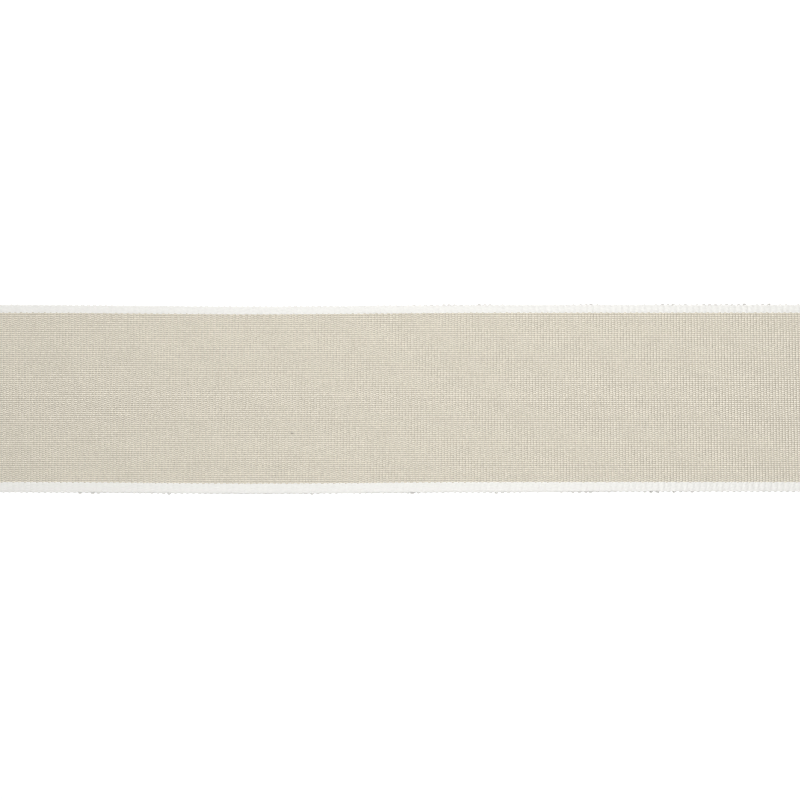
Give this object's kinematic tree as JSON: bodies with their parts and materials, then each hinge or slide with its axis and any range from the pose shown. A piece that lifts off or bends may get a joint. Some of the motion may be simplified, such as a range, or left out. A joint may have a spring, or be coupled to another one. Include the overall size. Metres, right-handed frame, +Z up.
{
  "type": "woven tape trim",
  "caption": "Cut length of ribbed woven tape trim with an oatmeal field and narrow white woven edges, lying flat with its face side up.",
  "frame": {"origin": "middle of the tape's box, on the flat underside", "axes": "+X along the tape, +Y across it towards the narrower white edge, +Z up out of its face side"},
  "size_m": [0.2922, 0.0644, 0.0011],
  "materials": {
    "oatmeal_yarn": "dull ribbed weave of oatmeal yarn",
    "white_yarn": "dull woven edge of soft white yarn"
  },
  "bodies": {
    "root": {"tape": "oatmeal_yarn"}
  },
  "joints": []
}
